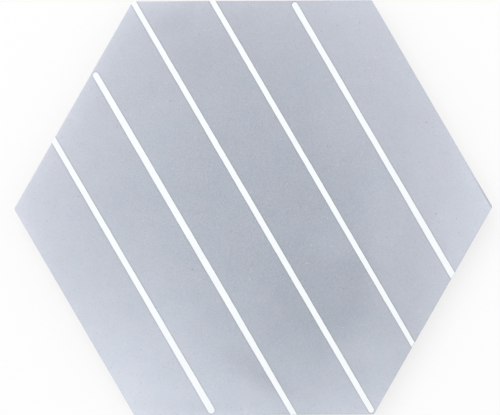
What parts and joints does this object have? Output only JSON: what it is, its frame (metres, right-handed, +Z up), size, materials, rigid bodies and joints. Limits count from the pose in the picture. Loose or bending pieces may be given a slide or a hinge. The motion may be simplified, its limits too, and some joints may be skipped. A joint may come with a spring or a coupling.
{
  "type": "hexagon floor tile",
  "caption": "Hexagonal cement floor tile, blue-grey with plain parallel white stripes let flush into its face.",
  "frame": {"origin": "centre of the tile on its bedding side, at the bottom of the bounding box", "axes": "+Z up through the face, +X through two opposite corners, +Y through the middles of two opposite sides; the stripes run at 120 degrees from +X"},
  "size_m": [0.2306, 0.2, 0.016],
  "materials": {
    "grey_cement": "matte",
    "white_cement": "matte"
  },
  "bodies": {
    "root": {"tile_body": "grey_cement", "white_stripe_1": "white_cement", "white_stripe_2": "white_cement", "white_stripe_3": "white_cement", "white_stripe_4": "white_cement", "white_stripe_5": "white_cement"}
  },
  "joints": []
}
